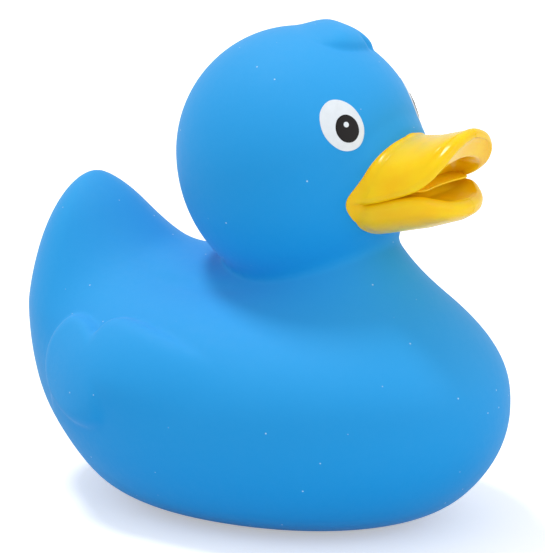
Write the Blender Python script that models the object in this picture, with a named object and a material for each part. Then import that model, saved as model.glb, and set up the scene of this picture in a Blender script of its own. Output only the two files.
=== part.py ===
# A rubber duck: one hollow vinyl moulding and the squeaker disc pressed into its base.
# The duck faces +X and is mirrored about y = 0. Its sizes are given from a point just behind and below
# the middle of its base, and every mesh is moved at the end so that the middle of the base is the origin.
# Every size below is in millimetres; the meshes are made in metres.

import math

import bmesh
import bpy
import numpy as np
from mathutils import Matrix

MM = 0.001

# Shift along X that puts the middle of the duck's length over the origin
CENTRE_SHIFT = 2.9

# Height of the rounded base that is cut off flat, so that the duck stands on a true plane
FOOT_TRIM = 0.3

# Wall of the moulding
WALL = 2.0

# Head: an ellipsoid
HEAD_X = 3.4
HEAD_Z = 54.9
HEAD_WIDTH = 36.4
HEAD_HEIGHT = 37.0

# Neck: a cone with round ends, from the chest up into the head
NECK_FOOT_X = 14.7
NECK_FOOT_Z = 28.7
NECK_FOOT_RADIUS = 8.9
NECK_TOP_RADIUS = 9.9
NECK_BLEND = 11.8
HEAD_BLEND = 1.4

# Nape: a low pad that fills the notch between the back and the head
NAPE_X = -7.5
NAPE_Z = 35.0
NAPE_LENGTH = 20.0
NAPE_WIDTH = 18.0
NAPE_HEIGHT = 5.6
NAPE_BLEND = 4.0

# Body: an egg with a rounder front and its widest level low down
BODY_X = -1.3
BODY_Z = 18.4
BODY_FRONT = 37.7
BODY_REAR = 34.5
BODY_HALF_WIDTH = 27.2
BODY_UP = 17.9
BODY_DOWN = 23.6
BODY_PITCH = -0.7
BODY_TAPER = -0.06
BODY_PLAN_POWER = 2.08
BODY_TOP_POWER = 2.44
BODY_LOW_POWER = 2.0

# Tail: a narrow upright egg with a pointed top
TAIL_X = -31.9
TAIL_Z = 28.4
TAIL_FRONT = 17.0
TAIL_REAR = 10.2
TAIL_HALF_WIDTH = 13.1
TAIL_HEIGHT = 19.5
TAIL_LEAN = -0.03
TAIL_FRONT_POWER = 1.54
TAIL_SIDE_POWER = 1.8
TAIL_TOP_POWER = 1.57
TAIL_BLEND = 9.9

# Base: flat, with a rounded edge and a hole for the squeaker
BASE_BLEND = 5.4
HOLE_X = -1.3
HOLE_DIAMETER = 13.0

# Squeaker: a disc in the hole, a flange that holds it behind the wall, a cup above, and an air hole
SQUEAKER_GAP = 0.3
SQUEAKER_RECESS = 0.4
SQUEAKER_HOLE = 2.4
FLANGE_DIAMETER = 15.4
FLANGE_THICKNESS = 1.0
CUP_DIAMETER = 9.0
CUP_HEIGHT = 3.0

# Where the skin is measured from: a level inside the body, and how far below the head's centre the waist
# lies at most and at least
INNER_Z = 21.0
WAIST_LOWEST_DROP = 19.9
WAIST_HIGHEST_DROP = 7.9
REAR_CROWDING = 0.5
LONGEST_RAY = 60.0
WAIST_DROP = 6.0
SLIDE_SHARE = 0.2

# Fineness: segments round each piece, and the number of rings or sections along it
SKIN_SEGMENTS = 64
BODY_RING_COUNT = 25
HEAD_RING_COUNT = 13
CAVITY_SEGMENTS = 32
CAVITY_BODY_RING_COUNT = 13
CAVITY_HEAD_RING_COUNT = 8
BILL_SECTION_COUNT = 18
FEATHER_SEGMENTS = 30
TURNED_SEGMENTS = 40

# Bill, from the head's centre: middle line of each lip, from the mouth corner to the tip, as x, y, z, with
# the lip's radius. The ridge is the top of the upper half at the middle, and the keel the bottom of the
# lower half, both as x, z. The palate and the tongue side are the inner faces at the middle, likewise.
# Each lip tilts towards the tip from TIP_START on.
UPPER_EDGE = [
    (12.2, 9.0, -3.7),
    (16.6, 9.8, -3.2),
    (21.6, 9.4, -2.3),
    (24.1, 9.1, -1.4),
    (26.0, 8.6, 0.0),
    (27.3, 7.4, 2.0),
    (28.2, 4.6, 4.4),
    (28.5, 0.0, 5.6),
]
UPPER_LIP = 0.9
UPPER_TIP_SLOPE = 50.0
RIDGE = [(10.6, 3.7), (16.6, 3.9), (22.6, 4.7), (28.8, 6.4)]
PALATE = [(10.6, -3.9), (23.7, -2.5), (24.3, -1.7), (24.9, 0.1), (25.8, 1.7), (27.0, 2.9), (28.8, 5.0)]
LOWER_EDGE = [
    (12.2, 8.5, -5.6),
    (16.6, 9.0, -5.4),
    (21.1, 8.5, -5.0),
    (24.2, 7.7, -4.7),
    (26.1, 6.0, -4.7),
    (27.3, 3.5, -4.9),
    (27.7, 0.0, -5.0),
]
LOWER_LIP = 1.4
LOWER_TIP_SLOPE = 0.0
KEEL = [(10.6, -10.5), (16.6, -10.0), (22.6, -8.5), (28.2, -6.4)]
TONGUE = [(10.6, -2.9), (23.7, -1.9), (24.3, -2.2), (25.1, -3.6), (26.4, -4.2), (28.2, -3.7)]
TIP_START = 22.6

# Wings: three overlapping feathers on each side, in a plane of x and girth. Girth is measured up round the
# body from the level of GIRTH_Z, as an angle times GIRTH_RADIUS. Each feather has its middle, its turn
# (front end down), its reach to the rear, front, top and bottom, the power of its rounded outline, its
# height over the skin, and the way (along, up) in which it sinks back into the skin.
GIRTH_Z = 18.0
GIRTH_RADIUS = 24.0
FEATHERS = [
    ((-20.0, -3.0), 0.0, (10.1, 14.0, 8.0, 8.0), 2.6, 0.5, (0.6, -1.2)),
    ((-22.6, 9.0), -7.2, (7.3, 10.0, 6.0, 10.3), 2.6, 1.1, (0.9, -0.1)),
    ((-10.0, 4.6), -15.6, (10.2, 15.4, 8.6, 12.3), 4.0, 1.1, (0.4, -0.9)),
]
FEATHER_SINK = 0.9

# Lock on the crown: two lobes side by side, tilted down to the front. Their middle lies ahead of the head's
# centre and below its top.
LOCK_FORWARD = 4.2
LOCK_DROP = 2.4
LOCK_LENGTH = 11.8
LOCK_WIDTH = 6.8
LOCK_HEIGHT = 5.4
LOCK_SPREAD = 1.7
LOCK_TILT = 20.0
LOCK_TURN = 7.0
LOCK_SPIN = 5.0


# Smooth union of two fields, with a fillet of about the size k.
def smooth_min(a, b, k):
    h = np.clip(0.5 + 0.5 * (b - a) / k, 0.0, 1.0)
    return b * (1 - h) + a * h - k * h * (1 - h)


def ellipsoid(x, y, z, rx, ry, rz):
    k0 = np.sqrt((x / rx) ** 2 + (y / ry) ** 2 + (z / rz) ** 2)
    k1 = np.sqrt((x / rx**2) ** 2 + (y / ry**2) ** 2 + (z / rz**2) ** 2) + 1e-9
    return k0 * (k0 - 1) / k1


def body_egg(x, y, z):
    c, s = math.cos(math.radians(BODY_PITCH)), math.sin(math.radians(BODY_PITCH))
    along = c * (x - BODY_X) + s * (z - BODY_Z)
    up = -s * (x - BODY_X) + c * (z - BODY_Z)
    length = np.where(along > 0, BODY_FRONT, BODY_REAR)
    height = np.where(up > 0, BODY_UP, BODY_DOWN)
    width = BODY_HALF_WIDTH * (1 + BODY_TAPER * along / BODY_FRONT)
    p = BODY_PLAN_POWER
    q = np.where(up > 0, BODY_TOP_POWER, BODY_LOW_POWER)
    ex, ey, ez = np.abs(along / length), np.abs(y / width), np.abs(up / height)
    plan = np.maximum((ex**p + ey**p) ** (1 / p), 1e-6)
    n = np.maximum((plan**q + ez**q) ** (1 / q), 1e-6)
    gx = ex ** (p - 1) / length * plan ** (q - p)
    gy = ey ** (p - 1) / width * plan ** (q - p)
    gz = ez ** (q - 1) / height
    return (n - 1) / (np.sqrt(gx**2 + gy**2 + gz**2) * n ** (1 - q) + 1e-9)


def tail_egg(x, y, z):
    up = z - TAIL_Z
    along = x - TAIL_X - TAIL_LEAN * up
    length = np.where(along > 0, TAIL_FRONT, TAIL_REAR)
    p = np.where(along > 0, TAIL_FRONT_POWER, TAIL_SIDE_POWER)
    ex = np.abs(along / length)
    ey = np.abs(y / TAIL_HALF_WIDTH)
    ez = np.abs(up / TAIL_HEIGHT)
    n = ex**p + ey**TAIL_SIDE_POWER + ez**TAIL_TOP_POWER
    gx = p * np.maximum(ex, 1e-3) ** (p - 1) / length
    gy = TAIL_SIDE_POWER * np.maximum(ey, 1e-3) ** (TAIL_SIDE_POWER - 1) / TAIL_HALF_WIDTH
    gz = TAIL_TOP_POWER * np.maximum(ez, 1e-3) ** (TAIL_TOP_POWER - 1) / TAIL_HEIGHT
    return (n - 1) / (np.sqrt(gx**2 + gy**2 + gz**2) + 1e-9)


# Distance to a cone with two round ends.
def round_cone(x, y, z, foot, top, foot_radius, top_radius):
    ax, az = top[0] - foot[0], top[1] - foot[1]
    length2 = ax * ax + az * az
    step = foot_radius - top_radius
    a2 = length2 - step * step
    px, pz = x - foot[0], z - foot[1]
    along = px * ax + pz * az
    rest = along - length2
    qx, qz = px * length2 - ax * along, pz * length2 - az * along
    side2 = qx * qx + qz * qz + (y * length2) ** 2
    near2 = along**2 * length2
    far2 = rest**2 * length2
    k = np.sign(step) * step * step * side2
    to_top = np.sqrt(side2 + far2) / length2 - top_radius
    to_foot = np.sqrt(side2 + near2) / length2 - foot_radius
    to_side = (np.sqrt(side2 * a2 / length2) + along * step) / length2 - foot_radius
    on_top = np.sign(rest) * a2 * far2 > k
    on_foot = np.sign(along) * a2 * near2 < k
    return np.where(on_top, to_top, np.where(on_foot, to_foot, to_side))


# The whole form, as a field that is negative inside.
def duck_field(x, y, z):
    neck = round_cone(x, y, z, (NECK_FOOT_X, NECK_FOOT_Z), (HEAD_X, HEAD_Z), NECK_FOOT_RADIUS, NECK_TOP_RADIUS)
    nape = ellipsoid(x - NAPE_X, y, z - NAPE_Z, NAPE_LENGTH / 2, NAPE_WIDTH / 2, NAPE_HEIGHT / 2)
    head = ellipsoid(x - HEAD_X, y, z - HEAD_Z, HEAD_WIDTH / 2, HEAD_WIDTH / 2, HEAD_HEIGHT / 2)
    f = smooth_min(body_egg(x, y, z), tail_egg(x, y, z), TAIL_BLEND)
    f = smooth_min(f, nape, NAPE_BLEND)
    f = smooth_min(f, neck, NECK_BLEND)
    f = smooth_min(f, head, HEAD_BLEND)
    rounded = -smooth_min(-f, z, BASE_BLEND)
    return np.maximum(rounded, FOOT_TRIM - z)


# First crossing of the level along each ray: steps of 1 mm, then halving.
def ray_hits(origin, direction, level):
    steps = np.arange(0.0, LONGEST_RAY, 1.0)
    spots = origin[..., None, :] + direction[..., None, :] * steps[:, None]
    outside = duck_field(spots[..., 0], spots[..., 1], spots[..., 2]) > level
    first = np.argmax(outside, axis=-1)
    low = np.maximum(first - 1, 0).astype(float)
    high = first.astype(float)
    for _ in range(24):
        middle = (low + high) / 2
        spot = origin + direction * middle[..., None]
        out = duck_field(spot[..., 0], spot[..., 1], spot[..., 2]) > level
        high = np.where(out, middle, high)
        low = np.where(out, low, middle)
    return origin + direction * ((low + high) / 2)[..., None]


# The waist between body and head: in each half-plane, the height at which the skin comes nearest to the
# upright axis of the head.
def waist_ring(outward, level):
    heights = np.linspace(HEAD_Z - WAIST_LOWEST_DROP, HEAD_Z - WAIST_HIGHEST_DROP, 49)
    origin = np.zeros((len(heights), len(outward), 3)) + np.array([HEAD_X, 0.0, 0.0])
    origin[..., 2] = heights[:, None]
    hits = ray_hits(origin, np.zeros_like(origin) + outward, level)
    reach = np.hypot(hits[..., 0] - HEAD_X, hits[..., 1])
    nearest = np.argmin(reach, axis=0)
    return hits[nearest, np.arange(len(outward))]


# Directions in the upright half-planes, at an angle above the level.
def lifted(outward, angle):
    up = np.array([0.0, 0.0, 1.0])
    return outward * np.cos(angle)[..., None] + up * np.sin(angle)[..., None]


# Hits spaced evenly along the skin in each half-plane. The rays go from the first to the last as the
# share runs from 0 to 1, and rays_at gives their origins and directions.
def even_sweep(rays_at, around, shares, level):
    fine = np.linspace(0.0, 1.0, 200)[:, None] + np.zeros(around)
    hits = ray_hits(*rays_at(fine), level)
    steps = np.linalg.norm(np.diff(hits, axis=0), axis=2)
    length = np.vstack([np.zeros(around), np.cumsum(steps, axis=0)])
    chosen = np.empty((len(shares), around))
    for i in range(around):
        chosen[:, i] = np.interp(shares * length[-1, i], length[:, i], fine[:, i])
    return ray_hits(*rays_at(chosen), level)


# Rings of points over the skin, from the middle of the base up to the crown.
# Each upright half-plane through the head's axis cuts the skin in one curve. Rays from a point that
# slides down and out inside the body sweep the lower part of it, from the waist over the back and the
# tail to the base. Rays from the head's centre sweep the upper part.
def skin_rings(level, around, body_rings, head_rings):
    turn = (np.arange(around) + 0.5) * 2 * math.pi / around
    turn = turn + REAR_CROWDING * np.sin(turn)
    outward = np.stack([np.cos(turn), np.sin(turn), np.zeros(around)], axis=-1)
    waist = waist_ring(outward, level)
    reach = np.hypot(waist[:, 0] - HEAD_X, waist[:, 1])

    def point(out, height):
        spot = outward * out[..., None] + np.array([HEAD_X, 0.0, 0.0])
        spot[..., 2] = height
        return spot

    def body_rays(share):
        slide = np.clip(share / SLIDE_SHARE, 0.0, 1.0)
        slide = slide * slide * (3 - 2 * slide)
        rest = np.clip((share - SLIDE_SHARE) / (1 - SLIDE_SHARE), 0.0, 1.0)
        start = np.arctan2(WAIST_DROP, 0.5 * reach)
        end = -math.pi / 2 - np.arctan2(1.35 * reach, INNER_Z + level)
        angle = start + (math.pi / 2 - start) * slide + (end - math.pi / 2) * rest
        height = (waist[:, 2] - WAIST_DROP) * (1 - slide) + INNER_Z * slide
        return point(reach * (0.5 + 0.85 * slide), height), lifted(outward, angle)

    def head_rays(share):
        low = np.arctan2(waist[:, 2] - HEAD_Z, reach)
        angle = low + (math.pi / 2 - low) * (0.06 + 0.94 * share)
        return point(0 * angle, HEAD_Z), lifted(outward, angle)

    body = even_sweep(body_rays, around, np.arange(1, body_rings + 1) / (body_rings + 1), level)
    head = even_sweep(head_rays, around, np.arange(1, head_rings + 1) / (head_rings + 1), level)
    up = np.array([[0.0, 0.0, 1.0]])
    crown = ray_hits(np.array([[HEAD_X, 0.0, HEAD_Z]]), up, level)[0]
    foot = ray_hits(np.array([[HEAD_X, 0.0, INNER_Z]]), -up, level)[0]
    return [*body[::-1], waist, *head], foot, crown


def new_object(name, bm):
    mesh = bpy.data.meshes.new(name)
    bmesh.ops.translate(bm, verts=bm.verts, vec=(CENTRE_SHIFT * MM, 0.0, -FOOT_TRIM * MM))
    bm.to_mesh(mesh)
    bm.free()
    mesh.shade_smooth()
    ob = bpy.data.objects.new(name, mesh)
    bpy.context.scene.collection.objects.link(ob)
    return ob


# A closed mesh from a stack of rings, with a single point at each end where one is given.
def ring_mesh(name, rings, first=None, last=None):
    bm = bmesh.new()
    loops = [[bm.verts.new(p * MM) for p in ring] for ring in rings]
    count = len(loops[0])
    for below, above in zip(loops, loops[1:]):
        for i in range(count):
            j = (i + 1) % count
            bm.faces.new((below[i], below[j], above[j], above[i]))
    for end, loop in ((first, loops[0]), (last, loops[-1])):
        if end is None:
            bm.faces.new(loop)
            continue
        tip = bm.verts.new(np.asarray(end) * MM)
        for i in range(count):
            bm.faces.new((loop[i], loop[(i + 1) % count], tip))
    bmesh.ops.recalc_face_normals(bm, faces=bm.faces)
    return new_object(name, bm)


# Smooth curve through the given points, at the given shares (0 to 1) of its span.
def curve_through(points, shares):
    p = np.asarray(points, float)
    p = np.concatenate([2 * p[:1] - p[1:2], p, 2 * p[-1:] - p[-2:-1]])
    t = np.asarray(shares) * (len(p) - 3)
    i = np.clip(t.astype(int), 0, len(p) - 4)
    f = (t - i).reshape((-1,) + (1,) * (p.ndim - 1))
    a, b, c, d = p[i], p[i + 1], p[i + 2], p[i + 3]
    return 0.5 * (2 * b + (c - a) * f + (2 * a - 5 * b + 4 * c - d) * f**2 + (3 * b - a - 3 * c + d) * f**3)


def unit(v):
    return v / np.linalg.norm(v, axis=-1, keepdims=True)


def spots(x, y, z):
    return np.stack(np.broadcast_arrays(x, y, z), axis=-1).astype(float)


# One half of the bill. Closed sections stand across it, from inside the head to the tip: over the outer
# face, round one lip, along the inner face, and round the other lip. "up" is 1 for the upper half.
def bill_half(name, half_edge, lip, tip_slope, outer, inner, up):
    across = [(x, -y, z) for x, y, z in half_edge[-2::-1]]
    shares = 0.497 * np.sin(np.linspace(0.0, math.pi / 2, BILL_SECTION_COUNT))
    full = list(half_edge) + across
    edge = curve_through(full, shares)
    tangent = unit(curve_through(full, shares + 0.001) - curve_through(full, shares - 0.001))
    steep = np.clip((edge[:, 0] - TIP_START) / (edge[-1, 0] - TIP_START), 0.0, 1.0)
    slope = np.radians(tip_slope) * steep * steep * (3 - 2 * steep)
    normal = spots(-np.sin(slope), 0.25 * (1 - steep), np.cos(slope))
    normal = unit(normal - tangent * np.sum(normal * tangent, axis=1, keepdims=True)) * up
    out = unit(np.cross(normal, tangent)) * up

    # An arch across the bill between the two lips, up or down to the given line at the middle.
    def arch(share, face, line, power):
        x, y, z = (edge + face * lip * normal).T
        middle = np.interp(x, *zip(*line))
        return spots(x, y * share, z + (middle - z) * (1 - abs(share) ** power) ** (1 / power))

    def flip(points):
        return points * np.array([1.0, -1.0, 1.0])

    roll_angles = np.radians([15.0, 60.0, 105.0, 150.0])
    rolls = [edge + lip * (normal * math.cos(a) + out * math.sin(a)) for a in roll_angles]
    outer_shares = (0.95, 0.86, 0.7, 0.45, 0.15, -0.15, -0.45, -0.7, -0.86, -0.95)
    row = [arch(share, 1, outer, 2.4) for share in outer_shares]
    row += [flip(r) for r in rolls]
    row += [arch(share, -1, inner, 3.0) for share in (-0.84, -0.6, -0.25, 0.25, 0.6, 0.84)]
    row += rolls[::-1]
    sections = np.stack(row, axis=1) + np.array([HEAD_X, 0.0, HEAD_Z])
    return ring_mesh(name, sections)


# Gradient of the form's field: the way out of the skin.
def skin_normal(p):
    step = 0.05
    x, y, z = p[..., 0], p[..., 1], p[..., 2]
    gx = duck_field(x + step, y, z) - duck_field(x - step, y, z)
    gy = duck_field(x, y + step, z) - duck_field(x, y - step, z)
    gz = duck_field(x, y, z + step) - duck_field(x, y, z - step)
    return unit(np.stack([gx, gy, gz], axis=-1))


# A feather: a thin pad that follows the skin, with a rounded rim, sinking into the skin on one side. Its
# points are laid out round its middle in the plane of x and girth, and each is found by a ray from the
# body's middle line.
def feather(name, side, middle, turned_by, reach, power, height, sink_way):
    around = np.arange(FEATHER_SEGMENTS) * 2 * math.pi / FEATHER_SEGMENTS
    c, s = np.cos(around), np.sin(around)
    rear, front, top, bottom = reach
    reach_along = np.where(c > 0, front, rear)
    reach_up = np.where(s > 0, top, bottom)
    radius = (np.abs(c / reach_along) ** power + np.abs(s / reach_up) ** power) ** (-1 / power)
    shares = np.array([0.0, 0.35, 0.62, 0.8, 0.9, 0.965, 1.0])[:, None]
    along, up = shares * radius * c, shares * radius * s
    tilt_c, tilt_s = math.cos(math.radians(turned_by)), math.sin(math.radians(turned_by))
    x = middle[0] + tilt_c * along - tilt_s * up
    girth = (middle[1] + tilt_s * along + tilt_c * up) / GIRTH_RADIUS
    skin = ray_hits(spots(x, 0.0, GIRTH_Z), spots(0.0 * x, side * np.cos(girth), np.sin(girth)), 0.0)
    normal = skin_normal(skin)
    sunk = (along / reach_along * sink_way[0] + up / reach_up * sink_way[1])[..., None]
    raised = height * (1 - 1.6 * np.clip(sunk, 0.0, 1.0))
    rim = np.sqrt(1 - 0.999 * shares**8)[..., None]
    upper = skin + normal * (-FEATHER_SINK + (raised + FEATHER_SINK) * rim)
    lower = skin - normal * (FEATHER_SINK + 0.3)
    return ring_mesh(name, [*upper[1:], lower[3]], upper[0, 0], lower[0, 0])


# One lobe of the lock on the crown. The sphere it is made from is first spun a little the same way for both
# lobes, so that their faces don't meet edge to edge.
def lock_lobe(name, side):
    bm = bmesh.new()
    bmesh.ops.create_uvsphere(bm, u_segments=24, v_segments=12, radius=1.0)
    size = np.array([LOCK_LENGTH, LOCK_WIDTH, LOCK_HEIGHT]) / 2 * MM
    height = HEAD_Z + HEAD_HEIGHT / 2 - LOCK_DROP
    turn = Matrix.Rotation(math.radians(LOCK_TURN) * -side, 4, "Z")
    tilt = Matrix.Rotation(math.radians(LOCK_TILT), 4, "Y")
    spin = Matrix.Rotation(math.radians(LOCK_SPIN), 4, "X")
    place = Matrix.Translation(((HEAD_X + LOCK_FORWARD) * MM, LOCK_SPREAD * side * MM, height * MM))
    bm.transform(place @ turn @ tilt @ Matrix.Diagonal((*size, 1.0)) @ spin)
    return new_object(name, bm)


# A ring turned about an upright axis at HOLE_X, from its profile of radius and height.
def turned(name, profile, around):
    turn = np.arange(around) * 2 * math.pi / around
    rings = [spots(HOLE_X + r * np.cos(turn), r * np.sin(turn), z) for r, z in profile]
    bm = bmesh.new()
    loops = [[bm.verts.new(p * MM) for p in ring] for ring in rings]
    for below, above in zip(loops, loops[1:] + loops[:1]):
        for i in range(around):
            j = (i + 1) % around
            bm.faces.new((below[i], below[j], above[j], above[i]))
    bmesh.ops.recalc_face_normals(bm, faces=bm.faces)
    return new_object(name, bm)


def squeaker():
    outer = HOLE_DIAMETER / 2 - SQUEAKER_GAP
    inner = SQUEAKER_HOLE / 2
    under = FOOT_TRIM + SQUEAKER_RECESS
    shoulder = FOOT_TRIM + WALL + SQUEAKER_GAP
    flange = shoulder + FLANGE_THICKNESS
    top = flange + CUP_HEIGHT
    cup = CUP_DIAMETER / 2
    profile = [
        (inner, under),
        (outer - 0.4, under),
        (outer, under + 0.4),
        (outer, shoulder),
        (FLANGE_DIAMETER / 2 - 0.3, shoulder),
        (FLANGE_DIAMETER / 2, shoulder + 0.3),
        (FLANGE_DIAMETER / 2 - 0.3, flange),
        (cup, flange),
        (cup, top),
        (cup - 1.0, top),
        (cup - 1.0, flange),
        (inner, flange),
    ]
    return turned("squeaker", profile, TURNED_SEGMENTS)


def material(name, color, roughness):
    made = bpy.data.materials.new(name)
    made.use_nodes = True
    shader = made.node_tree.nodes["Principled BSDF"]
    shader.inputs["Base Color"].default_value = (*color, 1.0)
    shader.inputs["Roughness"].default_value = roughness
    made.diffuse_color = (*color, 1.0)
    return made


def boolean(target, other, operation):
    other.hide_render = True
    other.display_type = "WIRE"
    step = target.modifiers.new(f"{operation.lower()} {other.name}", "BOOLEAN")
    step.operation = operation
    step.solver = "EXACT"
    step.object = other


def main():
    for ob in list(bpy.data.objects):
        bpy.data.objects.remove(ob)
    rings, foot, crown = skin_rings(0.0, SKIN_SEGMENTS, BODY_RING_COUNT, HEAD_RING_COUNT)
    body = ring_mesh("duck_body", rings, foot, crown)
    for side in (-1, 1):
        for number, sizes in enumerate(FEATHERS):
            boolean(body, feather(f"feather {number} side {side}", side, *sizes), "UNION")
        boolean(body, lock_lobe(f"lock side {side}", side), "UNION")
    upper = bill_half("upper_bill", UPPER_EDGE, UPPER_LIP, UPPER_TIP_SLOPE, RIDGE, PALATE, 1)
    lower = bill_half("lower_bill", LOWER_EDGE, LOWER_LIP, LOWER_TIP_SLOPE, KEEL, TONGUE, -1)
    boolean(body, lower, "UNION")
    boolean(body, upper, "UNION")
    rings, foot, crown = skin_rings(-WALL, CAVITY_SEGMENTS, CAVITY_BODY_RING_COUNT, CAVITY_HEAD_RING_COUNT)
    boolean(body, ring_mesh("cavity", rings, foot, crown), "DIFFERENCE")
    radius = HOLE_DIAMETER / 2
    turn = np.arange(TURNED_SEGMENTS) * 2 * math.pi / TURNED_SEGMENTS
    across, along = HOLE_X + radius * np.cos(turn), radius * np.sin(turn)
    plug = ring_mesh("hole", [spots(across, along, z) for z in (-1.0, FOOT_TRIM + WALL + 1.0)])
    boolean(body, plug, "DIFFERENCE")
    disc = squeaker()
    body.data.materials.append(material("blue_vinyl", (0.05, 0.32, 0.77), 0.5))
    disc.data.materials.append(material("white_plastic", (0.8, 0.8, 0.78), 0.4))


main()
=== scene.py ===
import math

import bpy
import numpy as np
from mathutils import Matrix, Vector


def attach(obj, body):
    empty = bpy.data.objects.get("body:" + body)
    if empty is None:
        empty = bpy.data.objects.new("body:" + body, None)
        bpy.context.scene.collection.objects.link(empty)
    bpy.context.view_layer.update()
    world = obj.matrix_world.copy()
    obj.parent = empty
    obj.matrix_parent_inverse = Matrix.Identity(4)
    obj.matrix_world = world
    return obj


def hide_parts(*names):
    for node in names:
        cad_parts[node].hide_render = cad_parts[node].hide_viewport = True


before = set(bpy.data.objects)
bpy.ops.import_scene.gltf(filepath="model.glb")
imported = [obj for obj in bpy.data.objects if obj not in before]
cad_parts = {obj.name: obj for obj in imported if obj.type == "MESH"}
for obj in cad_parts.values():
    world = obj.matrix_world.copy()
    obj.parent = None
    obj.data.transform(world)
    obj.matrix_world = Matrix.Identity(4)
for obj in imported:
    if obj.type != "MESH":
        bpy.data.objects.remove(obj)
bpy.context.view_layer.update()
print("frame loaded")

# Sizes are in millimetres. As in the CAD they start 2.9 mm in front of the middle of the base and 0.3 mm
# below it, and every mesh is moved from there to the frame's origin when it is made.
mm = 0.001
shift = np.array([2.9, 0.0, -0.3])
upward = np.array([0.0, 0.0, 1.0])
forward = np.array([1.0, 0.0, 0.0])

# The plain form: body, tail, nape, neck and head, with the size of the fillet between them
form = {
    "body": {"x": -1.3, "z": 18.4, "front": 37.7, "rear": 34.5, "side": 27.2, "up": 17.9, "down": 23.6},
    "bodyPitch": -0.7,
    "bodyTaper": -0.06,
    "bodyPowers": {"plan": 2.08, "top": 2.44, "low": 2.0},
    "tail": {"x": -31.9, "z": 28.4, "front": 17.0, "rear": 10.2, "side": 13.1, "up": 19.5, "lean": -0.03},
    "tailPowers": {"front": 1.45, "side": 1.8, "top": 1.57},
    "nape": {"x": -7.5, "z": 34.7, "length": 20.0, "width": 18.0, "height": 5.6},
    "neckFoot": {"x": 14.7, "z": 28.7, "radius": 8.9},
    "neckTop": {"x": 3.4, "z": 54.9, "radius": 8.3},
    "head": {"x": 3.4, "z": 54.9, "width": 36.4, "up": 18.5, "down": 20.5},
    "fillets": {"tail": 9.9, "nape": 4.0, "neck": 11.8, "head": 1.4, "base": 5.4},
    "footTrim": 0.3,
}


# Smooth union of two fields with a fillet of about the size k: their blend by a share h, less k h (1 - h)
def smoothMin(a, b, k):
    h = np.clip(0.5 + 0.5 * (b - a) / k, 0.0, 1.0)
    return b * (1 - h) + a * h - k * h * (1 - h)


# Rises from 0 to 1 between two values, level at both ends, as t^2 (3 - 2 t)
def smoothStep(low, high, value):
    t = np.clip((value - low) / (high - low), 0.0, 1.0)
    return t * t * (3 - 2 * t)


# Vectors of length 1 that point the same way
def unit(v):
    return v / np.linalg.norm(v, axis=-1, keepdims=True)


# Points from x, y and z, each of them a number or an array
def spots(x, y, z):
    return np.stack(np.broadcast_arrays(x, y, z), axis=-1).astype(float)


# About the distance to an ellipsoid: k0 (k0 - 1) / k1, with k0 the length of p / r and k1 that of p / r^2
def ellipsoidField(x, y, z, rx, ry, rz):
    k0 = np.sqrt((x / rx) ** 2 + (y / ry) ** 2 + (z / rz) ** 2)
    k1 = np.sqrt((x / rx**2) ** 2 + (y / ry**2) ** 2 + (z / rz**2) ** 2) + 1e-9
    return k0 * (k0 - 1) / k1


# Superellipsoid with its own reach to the front, rear, top and bottom, pitched a little. The field is n - 1
# over the slope of n, where n^q = (|x / a|^p + |y / b|^p)^(q / p) + |z / c|^q.
def bodyField(x, y, z):
    b, powers = form["body"], form["bodyPowers"]
    c, s = math.cos(math.radians(form["bodyPitch"])), math.sin(math.radians(form["bodyPitch"]))
    along = c * (x - b["x"]) + s * (z - b["z"])
    up = -s * (x - b["x"]) + c * (z - b["z"])
    length = np.where(along > 0, b["front"], b["rear"])
    height = np.where(up > 0, b["up"], b["down"])
    width = b["side"] * (1 + form["bodyTaper"] * along / b["front"])
    p = powers["plan"]
    q = np.where(up > 0, powers["top"], powers["low"])
    ex, ey, ez = np.abs(along / length), np.abs(y / width), np.abs(up / height)
    plan = np.maximum((ex**p + ey**p) ** (1 / p), 1e-6)
    n = np.maximum((plan**q + ez**q) ** (1 / q), 1e-6)
    gx = ex ** (p - 1) / length * plan ** (q - p)
    gy = ey ** (p - 1) / width * plan ** (q - p)
    gz = ez ** (q - 1) / height
    return (n - 1) / (np.sqrt(gx**2 + gy**2 + gz**2) * n ** (1 - q) + 1e-9)


# Narrow upright egg with a pointed top: n - 1 over the slope of n, where n is the sum of |x / a|, |y / b|
# and |z / c|, each to its own power
def tailField(x, y, z):
    t, powers = form["tail"], form["tailPowers"]
    up = z - t["z"]
    along = x - t["x"] - t["lean"] * up
    length = np.where(along > 0, t["front"], t["rear"])
    p = np.where(along > 0, powers["front"], powers["side"])
    side, top = powers["side"], powers["top"]
    ex = np.abs(along / length)
    ey = np.abs(y / t["side"])
    ez = np.abs(up / t["up"])
    n = ex**p + ey**side + ez**top
    gx = p * np.maximum(ex, 1e-3) ** (p - 1) / length
    gy = side * np.maximum(ey, 1e-3) ** (side - 1) / t["side"]
    gz = top * np.maximum(ez, 1e-3) ** (top - 1) / t["up"]
    return (n - 1) / (np.sqrt(gx**2 + gy**2 + gz**2) + 1e-9)


# Distance to a cone with two round ends
def neckField(x, y, z):
    foot, top = form["neckFoot"], form["neckTop"]
    ax, az = top["x"] - foot["x"], top["z"] - foot["z"]
    length2 = ax * ax + az * az
    step = foot["radius"] - top["radius"]
    a2 = length2 - step * step
    px, pz = x - foot["x"], z - foot["z"]
    along = px * ax + pz * az
    rest = along - length2
    qx, qz = px * length2 - ax * along, pz * length2 - az * along
    side2 = qx * qx + qz * qz + (y * length2) ** 2
    near2 = along**2 * length2
    far2 = rest**2 * length2
    k = np.sign(step) * step * step * side2
    toTop = np.sqrt(side2 + far2) / length2 - top["radius"]
    toFoot = np.sqrt(side2 + near2) / length2 - foot["radius"]
    toSide = (np.sqrt(side2 * a2 / length2) + along * step) / length2 - foot["radius"]
    onTop = np.sign(rest) * a2 * far2 > k
    onFoot = np.sign(along) * a2 * near2 < k
    return np.where(onTop, toTop, np.where(onFoot, toFoot, toSide))


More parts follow.
